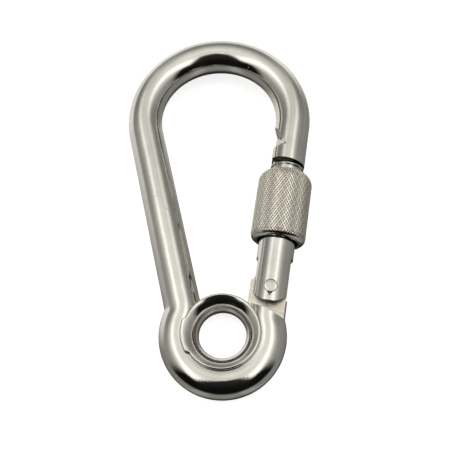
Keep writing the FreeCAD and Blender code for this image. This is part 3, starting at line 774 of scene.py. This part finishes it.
@dataclass
class GateBar:
    """The gate: forked heel, smooth shank, relief, real thread and latch tongue."""

    plan: WirePlan
    shank_radius: float = 3.66
    heel_round: float = 4.0
    heel_centre: float = 1.0
    hub: float = 0.35
    shank_rows: Pair = (2.0, 6.0)
    shank_top: float = 11.6
    shank_edge: float = 0.15
    relief_radius: float = 3.1
    thread_from: float = 12.9
    thread_radius: float = 3.45
    thread_depth: float = 0.42
    thread_to: float = 26.0
    thread_fade: Triple = (0.3, 0.2, 0.5)
    pitch: float = 1.0
    rows_per_pitch: float = 14.0
    flank_slope: float = 2.6
    crest_flat: float = 0.15
    collar_from: float = 26.75
    top: float = 27.1
    fork_half: float = 1.62
    fork_ends: Pair = (6.1, 6.8)
    bore: float = 1.55
    bore_end: float = 20.6
    nick: tuple[Pair, ...] = ((-0.62, -1.1), (0.62, -1.1), (0.08, -2.05), (-0.08, -2.05))
    nick_depth: float = 0.55
    latch_half: float = 1.15
    latch: tuple[float, float, float, float] = (-3.0, 0.65, 25.1, 33.2)
    latch_round: float = 0.6
    pin_place: Pair = (-1.75, 31.7)
    pin_radius: float = 0.45
    rivet_radius: float = 1.30
    rivet_gap: float = 0.03
    columns: int = 144

    def turned_points(self) -> Array:
        """Rings of the bar about its axis.

        On the thread the radius at height h and angle a is the crest less the depth times a
        flat-topped triangle wave of h / pitch - a / full turn, faded in and out at the ends.
        """
        shank, relief, crest = self.shank_radius, self.relief_radius, self.thread_radius
        heel, edge, collar = self.heel_centre - self.heel_round, self.shank_edge, self.collar_from
        below = np.array([
            (self.hub, heel), (shank - 0.1, heel), (shank, heel + 0.1),
            *((shank, row) for row in self.shank_rows), (shank, self.shank_top - edge),
            (shank - edge, self.shank_top), (relief, self.shank_top), (relief, self.thread_from)])
        height = np.arange(self.thread_from + 0.08, self.thread_to,
                           self.pitch / self.rows_per_pitch)
        thread = np.stack([np.full_like(height, crest), height], -1)
        crown = np.array([
            (relief, self.thread_to), (relief, collar), (crest - 0.04, collar),
            (crest, collar + 0.04), (crest, self.top - 0.12), (crest - 0.12, self.top),
            (self.hub, self.top)])
        points = turn(np.concatenate([below, thread, crown]), self.columns)
        share = np.linspace(0.0, 1.0, self.columns, endpoint=False)
        phase = (height[:, None] / self.pitch - share) % 1.0
        wave = np.clip(np.abs(phase - 0.5) * self.flank_slope - self.crest_flat, 0.0, 1.0)
        start, end, soft = self.thread_fade
        fade = smooth_window(height, self.thread_from + start, self.thread_to - end, soft)
        radius = crest - self.thread_depth * wave * fade[:, None]
        rows = slice(len(below), len(below) + len(height))
        points[rows, :, 0] = radius * np.cos(share * FULL_TURN)
        points[rows, :, 2] = radius * np.sin(share * FULL_TURN)
        return points

    def latch_outline(self) -> Array:
        """The latch tongue's outline, its two upper corners rounded."""
        left, right, low, high = self.latch
        r = self.latch_round
        return np.concatenate([
            np.array([(left, low), (right, low)]),
            arc_points((right - r, high - r), r, 0.0, 90.0, 9),
            arc_points((left + r, high - r), r, 90.0, 180.0, 9)])

    def heel_outline(self) -> Array:
        """The metal outside the heel's round, as a horseshoe outline."""
        r, level, far = self.heel_round, self.heel_centre, 9.0
        return np.concatenate([
            arc_points((0.0, level), r, 180.0, 360.0, 61),
            np.array([(far, level), (far, -far), (-far, -far), (-far, level)])])

    def build(self, shop: Workshop, finishes: Finishes) -> None:
        """Turn the bar, then cut the heel, the fork and the bores and add the latch tongue."""
        turned = self.plan.place(grid(self.turned_points(), False, True))
        bar = turned.to_object("gate_shank", finishes.gate)
        reach = 3.0 * self.shank_radius
        side = self.shank_radius + 1.0
        heel = self.heel_centre - self.heel_round - 1.0
        inner, outer = self.fork_ends
        fork = np.array([(-side, heel), (side, heel), (side, outer), (-side, inner)])
        bore = np.array([(self.bore, inner - 1.0), (self.bore, self.bore_end)])
        rivet = circle((0.0, 0.0), self.rivet_radius + self.rivet_gap, 60)
        pin = circle(self.pin_place, self.pin_radius, 36)
        shop.carve(bar, [
            (prism(self.latch_outline(), -self.latch_half, self.latch_half), Cut.ADD,
             finishes.gate),
            # The heel's cut faces take painted shade, standing for the shadow under the heel.
            (prism(self.heel_outline(), -reach, reach), Cut.REMOVE, finishes.shade),
            (prism(fork, -self.fork_half, self.fork_half), Cut.REMOVE, finishes.fork),
            (lathe(bore, 64), Cut.REMOVE, finishes.inner),
            (prism(rivet, -reach, reach), Cut.REMOVE, finishes.fork),
            # The nick is a real cut; its dark spring-steel finish also paints the shade in the V.
            (prism(np.array(self.nick), self.shank_radius - self.nick_depth, reach), Cut.REMOVE,
             finishes.inner),
            (prism(pin, -reach, reach), Cut.REMOVE, finishes.gate)])
        shop.finish(bar, "gate_bar", "gate", "gate_nickel")


@dataclass
class ScrewSleeve:
    """The knurled sleeve: rounded smooth skirt, diamond knurl, sloped shoulder, threaded bore."""

    plan: WirePlan
    radius: float = 5.60
    bottom: float = 10.25
    mouth: float = 4.2
    mouth_depth: float = 13.3
    skirt: float = 1.35
    knurl_start: float = 38.0
    shoulder: float = 23.4
    top: float = 25.1
    top_radius: float = 4.65
    bore: float = 3.9
    nut_top: float = 19.5
    nut: float = 3.5
    groove: Triple = (4.55, 11.96, 12.64)
    shoulder_drops: tuple[Pair, ...] = ((0.0, 0.0), (0.12, 0.55), (0.42, 1.15))
    edge: float = 0.12
    teeth: int = 62
    tooth_steps: int = 8
    knurl_pitch: float = 0.94
    knurl_depth: float = 0.11
    knurl_fade: Triple = (0.12, 0.1, 0.3)
    ridge_width: float = 0.8

    def outside(self) -> tuple[Array, Array]:
        """The outer profile and the strength of the knurl on each of its points.

        Returns:
            Profile of shape (rows, 2) from the mouth up to the top face, and a number from
            zero to one for each row.
        """
        lip = arc_points((self.mouth + 0.05, self.bottom + 0.05), 0.05, 180.0, 260.0, 4)
        centre = (self.radius - self.skirt, self.bottom + self.skirt)
        skirt = arc_points(centre, self.skirt, -90.0, -self.knurl_start, 14)[:-1]
        corner = np.concatenate([
            arc_points(centre, self.skirt, -self.knurl_start, 0.0, 12),
            np.array([*((self.radius - inwards, self.shoulder + rise)
                        for inwards, rise in self.shoulder_drops),
                      (self.top_radius + self.edge, self.top - 0.14)])])
        gaps = np.linalg.norm(np.diff(corner, axis=0), axis=1)
        run = np.concatenate([[0.0], np.cumsum(gaps)])
        step = self.knurl_pitch / self.tooth_steps
        at = np.arange(0.0, run[-1], step)
        knurl = np.stack([np.interp(at, run, corner[:, k]) for k in (0, 1)], -1)
        crown = arc_points((self.top_radius, self.top - self.edge), self.edge, 20.0, 90.0, 5)
        profile = np.concatenate([lip, skirt, knurl, crown])
        strength = np.zeros(len(profile))
        begin = len(lip) + len(skirt)
        start, end, soft = self.knurl_fade
        strength[begin:begin + len(knurl)] = smooth_window(at, start, run[-1] - end, soft)
        return profile, strength

    def inside(self) -> Array:
        """The inner profile from the top face back down to the mouth."""
        deep, low, high = self.groove
        return np.array([
            (self.bore + 0.15, self.top), (self.bore, self.top - 0.15), (self.bore, 22.0),
            (self.bore, self.nut_top), (self.nut, self.nut_top - 0.4), (self.nut, 15.0),
            (self.nut, self.mouth_depth), (self.mouth, self.mouth_depth), (self.mouth, high),
            (deep, high), (deep, low), (self.mouth, low), (self.mouth, 10.8)])

    def ridge(self, phase: Array) -> Array:
        """Height, from zero to one, of narrow ridges at whole phases."""
        away = np.abs(phase - np.round(phase))
        return np.clip(1.0 - away * 2.0 / self.ridge_width, 0.0, 1.0)

    def points(self) -> Array:
        """Rings of the sleeve.

        Each knurled point moves inwards along the profile's normal, but for those on two crossing
        sets of ridges, whose phases are run / pitch plus and minus teeth * angle.
        """
        outer, strength = self.outside()
        columns = self.teeth * self.tooth_steps
        tangent = np.gradient(outer, axis=0)
        tangent /= np.linalg.norm(tangent, axis=1, keepdims=True)
        normal = np.stack([tangent[:, 1], -tangent[:, 0]], -1)
        row = (np.arange(len(outer)) - np.argmax(strength > 0.0))[:, None] / self.tooth_steps
        column = (np.arange(columns) / self.tooth_steps)[None, :]
        drop = self.knurl_depth * strength[:, None] * (1.0 - np.maximum(
            self.ridge(row + column), self.ridge(row - column)))
        angle = np.linspace(0.0, FULL_TURN, columns, endpoint=False)
        radius = outer[:, :1] - drop * normal[:, :1]
        height = outer[:, 1:] - drop * normal[:, 1:]
        knurled = np.stack([radius * np.cos(angle), height, radius * np.sin(angle)], -1)
        return np.concatenate([knurled, turn(self.inside(), columns)])

    def build(self, shop: Workshop, finishes: Finishes) -> None:
        """Close the rings into the sleeve: knurled, smooth outside and painted shade inside."""
        strength = self.outside()[1]
        knurled = np.flatnonzero(strength > 0.0)
        points = self.points()
        run = (np.arange(len(points)) - knurled[0]) / self.tooth_steps
        surface = self.plan.place(grid(points, True, True, run))
        piece = surface.to_object("knurled_sleeve", finishes.sleeve)
        piece.data.materials.append(finishes.gate)
        # The bore and mouth take painted shade, dark in place of the shade inside the sleeve.
        piece.data.materials.append(finishes.shade)
        slots = np.full(len(points), Layer.INSIDE.value, dtype=np.int32)
        slots[:len(strength)] = Layer.SMOOTH.value
        slots[knurled[0]:knurled[-1] + 1] = Layer.KNURL.value
        piece.data.polygons.foreach_set("material_index", np.repeat(slots, points.shape[1]))
        shop.finish(piece, "screw_sleeve", "sleeve", "sleeve_nickel", KNURL_CREASE_DEGREES)


@dataclass
class SmallParts:
    """Rivet, latch pin, plunger, spring and retaining ring."""

    plan: WirePlan
    rivet: Pair = (GateBar.rivet_radius, 3.64)
    rivet_dome: float = 0.2
    pin: Pair = (GateBar.pin_radius, 3.05)
    pin_dome: float = 0.08
    plunger: Triple = (1.5, 2.75, 9.4)
    spring_radius: float = 1.12
    spring_wire: float = 0.2
    spring_pitch: float = 1.25
    spring_turns: float = 8.0
    spring_gap: float = 0.1
    ring: tuple[float, float, float, float] = (3.52, 4.48, 12.0, 12.6)
    ring_arc: float = 335.0
    ring_edge: float = 0.06

    def cross_pin(self, radius: float, half: float, dome: float, at: Pair,
                  columns: int) -> Surface:
        """A pin along +Z through the ring's plane, its ends rounded and slightly crowned."""
        edge = arc_points((radius - dome, half - dome), dome, 0.0, 70.0, 7)
        crown = np.array([(radius * 0.45, half - dome * 0.02), (radius * 0.12, half)])
        upper = np.concatenate([edge, crown])
        profile = np.concatenate([upper[::-1] * (1.0, -1.0), upper])
        points = turn(profile, columns)[..., [0, 2, 1]]
        points[..., :2] += at
        return grid(points, False, True)

    def plunger_surface(self) -> Surface:
        """A rod with a round nose on the gate's axis."""
        radius, tip, top = self.plunger
        nose = arc_points((0.05, tip + radius - 0.05), radius - 0.05, 272.0, 360.0, 18)
        back = np.array([(radius, top - 0.12), (radius - 0.12, top), (0.2, top)])
        return lathe(np.concatenate([nose, back]), 72)

    def spring_surface(self) -> Surface:
        """A coil: c(a) = (R cos a, start + pitch a / turn, R sin a), with a round wire about it."""
        angle = np.linspace(0.0, FULL_TURN * self.spring_turns, int(self.spring_turns * 36))
        start = self.plunger[2] + self.spring_wire + self.spring_gap
        out = np.stack([np.cos(angle), 0.0 * angle, np.sin(angle)], -1)
        centre = out * self.spring_radius
        centre[:, 1] = start + self.spring_pitch * angle / FULL_TURN
        around = np.linspace(0.0, FULL_TURN, 12, endpoint=False)
        lift = np.array([0.0, 1.0, 0.0])
        points = (centre[:, None] + self.spring_wire
                  * (np.cos(around)[None, :, None] * out[:, None]
                     + np.sin(around)[None, :, None] * lift))
        return grid(points, False, True)

    def ring_surface(self) -> Surface:
        """A flat open ring: a rectangle with broken corners carried round part of a turn."""
        inner, outer, low, high = self.ring
        c = self.ring_edge
        section = np.array([(inner + c, low), (outer - c, low), (outer, low + c),
                            (outer, high - c), (outer - c, high), (inner + c, high),
                            (inner, high - c), (inner, low + c)])
        angle = np.radians(np.linspace(0.0, self.ring_arc, 120))[:, None]
        radius, height = section[None, :, 0], section[None, :, 1]
        points = np.stack([radius * np.cos(angle), height + 0.0 * angle,
                           -radius * np.sin(angle)], -1)
        return grid(points, False, True)

    def build(self, shop: Workshop, finishes: Finishes) -> None:
        """Make every small part in its place."""
        rivet = self.cross_pin(*self.rivet, self.rivet_dome, (0.0, 0.0), 72)
        pin = self.cross_pin(*self.pin, self.pin_dome, GateBar.pin_place, 48)
        bright, plain = (finishes.pin, "pin_nickel"), (finishes.inner, "inner_steel")
        for surface, name, node, body, (finish, slot) in (
                (rivet, "rivet_pin", "pivot_rivet", "gate", bright),
                (pin, "latch_cross_pin", "latch_pin", "gate", bright),
                (self.plunger_surface(), "nosed_plunger", "spring_plunger", "plunger", plain),
                (self.spring_surface(), "coil_spring", "gate_spring", "gate", plain),
                (self.ring_surface(), "retaining_ring", "sleeve_ring", "sleeve_carrier", plain)):
            shop.finish(self.plan.place(surface).to_object(name, finish), node, body, slot)


# --- studio

@dataclass
class Studio:
    """Camera, pale floor and a soft light tent with a dark gap on the camera's side."""

    camera_place: Triple = (0.007306, -0.035697, 0.145332)
    camera_target: Triple = (0.000466, 0.023086, 0.0)
    lens: float = 61.151
    floor_size: float = 1.2
    floor_points: tuple[Triple, ...] = (
        (0.0140, 0.0260, -0.00563), (-0.0190, 0.0450, -0.00366), (0.0, -0.0040, -0.00390))
    tint: Triple = (0.945, 0.945, 0.892)
    strength: float = 1.36
    dome: tuple[Pair, ...] = (
        (180.0, 0.02), (152.0, 0.04), (136.0, 0.20), (110.0, 0.21), (90.0, 0.24), (75.0, 0.26),
        (60.0, 0.31), (50.0, 0.45), (42.0, 0.66), (32.0, 0.82), (22.0, 0.90), (12.0, 0.79),
        (0.0, 0.66))
    panel_sides: tuple[Pair, Pair] = ((0.20, 0.38), (0.62, 0.48))
    panel_gain: float = 0.50
    horizon: Pair = (-0.05, 0.25)
    far_high: Pair = (0.10, 0.55)
    far_high_loss: float = 0.26
    low_heading: Pair = (0.94, -0.34)
    far_low: Pair = (0.25, 0.75)
    far_low_gain: float = 0.50
    wide_gap: tuple[Pair, Pair] = ((-0.22, -0.50), (0.80, 0.62))
    narrow_slope: float = 0.92
    narrow_gap: tuple[Pair, Pair] = ((0.02, -0.13), (-0.08, -0.20))
    gap_floor: Pair = (-0.30, -0.02)
    gap_depth: float = 0.985
    floor_colour: tuple[float, ...] = (0.90, 0.90, 0.90, 1.0)
    floor_roughness: float = 0.9
    floor_glow: float = 0.74

    def camera(self) -> None:
        """Place the camera, level with +Y up in its frame."""
        data = bpy.data.cameras.new("view_camera")
        data.lens = self.lens
        data.sensor_width = 36.0
        data.clip_start = 0.005
        data.clip_end = 20.0
        eye, target = Vector(self.camera_place), Vector(self.camera_target)
        back = (eye - target).normalized()
        right = Vector((0.0, 1.0, 0.0)).cross(back).normalized()
        up = back.cross(right)
        turned = Matrix((right, up, back)).transposed().to_4x4()
        piece = bpy.data.objects.new("view_camera", data)
        piece.matrix_world = Matrix.Translation(eye) @ turned
        bpy.context.scene.collection.objects.link(piece)
        bpy.context.scene.camera = piece

    def floor(self) -> None:
        """A pale floor under the three points that the hook lies on."""
        a, b, c = (Vector(p) for p in self.floor_points)
        normal = (b - a).cross(c - a).normalized()
        if normal.z < 0.0:
            normal.negate()
        side = Vector((0.0, 1.0, 0.0)).cross(normal).normalized()
        ahead = normal.cross(side)
        half = 0.5 * self.floor_size
        corners = [a + side * x + ahead * y for x, y in
                   ((-half, -half), (half, -half), (half, half), (-half, half))]
        mesh = bpy.data.meshes.new("floor")
        mesh.from_pydata([tuple(corner) for corner in corners], [], [(0, 1, 2, 3)])
        material = bpy.data.materials.new("pale_floor")
        material.use_nodes = True
        Nodes(material.node_tree).fill(
            material.node_tree.nodes["Principled BSDF"],
            {"Base Color": self.floor_colour, "Roughness": self.floor_roughness,
             "Emission Color": WHITE, "Emission Strength": self.floor_glow})
        mesh.materials.append(material)
        floor = bpy.data.objects.new("floor", mesh)
        bpy.context.scene.collection.objects.link(floor)
        floor.visible_glossy = False

    def world(self) -> None:
        """Light from all round, as a function of the direction d = (x, y, z).

        The tent's brightness follows z, with a brighter panel on each side where |x| is about
        0.45. It is lower towards +Y above the floor and higher there below it. It is dark where y
        is well below zero: in a narrow upright gap high up and in a wide one lower down.
        """
        world = bpy.data.worlds.new("light_tent")
        bpy.context.scene.world = world
        world.use_nodes = True
        tree = world.node_tree
        nodes = Nodes(tree)
        heading = nodes.node("ShaderNodeTexCoord").outputs["Generated"]
        x, y, z = nodes.node("ShaderNodeSeparateXYZ", {0: heading}).outputs
        aside = nodes.maths("ABSOLUTE", x)

        def corner(first: Socket, second: Socket, limits: tuple[Pair, Pair]) -> Socket:
            """Where two directions are both past their limits."""
            return nodes.product(nodes.step(first, *limits[0]), nodes.step(second, *limits[1]))

        stops = [(0.5 * math.cos(math.radians(angle)) + 0.5, (level,) * 3)
                 for angle, level in self.dome]
        above = nodes.step(z, *self.horizon)
        far_high = nodes.product(nodes.step(y, *self.far_high), above)
        panel = corner(aside, aside, self.panel_sides)
        tent = nodes.product(nodes.ramp(nodes.maths("MULTIPLY_ADD", z, 0.5, 0.5), stops),
                             nodes.maths("MULTIPLY_ADD", panel, self.panel_gain, 1.0),
                             nodes.rest(far_high, self.far_high_loss))
        back = nodes.weighted(*zip((y, x), self.low_heading))
        far_low = nodes.product(nodes.step(back, *self.far_low), nodes.rest(above))
        tent = nodes.maths("ADD", tent, nodes.product(far_low, self.far_low_gain))
        edge = nodes.maths("ADD", nodes.product(y, self.narrow_slope), aside)
        gaps = nodes.maths("MAXIMUM", corner(y, z, self.wide_gap),
                           corner(edge, y, self.narrow_gap))
        dark = nodes.product(gaps, nodes.step(z, *self.gap_floor))
        light = nodes.product(tent, nodes.rest(dark, self.gap_depth))
        tent_light = tree.nodes["Background"]
        nodes.fill(tent_light, {"Color": nodes.tinted(light, (*self.tint, 1.0)),
                                "Strength": self.strength})
        plain = nodes.node("ShaderNodeBackground", {"Color": WHITE})
        seen = nodes.node("ShaderNodeLightPath").outputs["Is Camera Ray"]
        mix = nodes.node("ShaderNodeMixShader",
                         {0: seen, 1: tent_light.outputs[0], 2: plain.outputs[0]})
        nodes.fill(tree.nodes["World Output"], {"Surface": mix.outputs[0]})

    def build(self) -> None:
        """Set up camera, floor, light and plain colour handling."""
        self.camera()
        self.floor()
        self.world()
        bpy.context.scene.view_settings.view_transform = "Standard"
        bpy.context.scene.view_settings.look = "None"
        LOG.info("studio ready")


def write_sizes() -> None:
    """Define a helper for a box's two corners as plain lists; no box is written."""
    def plain(box: object) -> list[list[float]]:
        """A box's two corners as lists of numbers."""
        return [[float(value) for value in corner] for corner in box]


def main() -> None:
    """Load the frame, build every sub-assembly in order and set up the studio."""
    logging.basicConfig(level=logging.INFO, format="%(message)s")
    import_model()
    plan = WirePlan()
    finishes = Finishes.make(plan)
    shop = Workshop(plan)
    for assembly in (BentHook(plan), Thimble(plan), GateBar(plan), ScrewSleeve(plan),
                     SmallParts(plan)):
        assembly.build(shop, finishes)
    Studio().build()
    write_sizes()
    LOG.info("%d pieces finished", len(shop.finished))


if __name__ == "__main__":
    main()
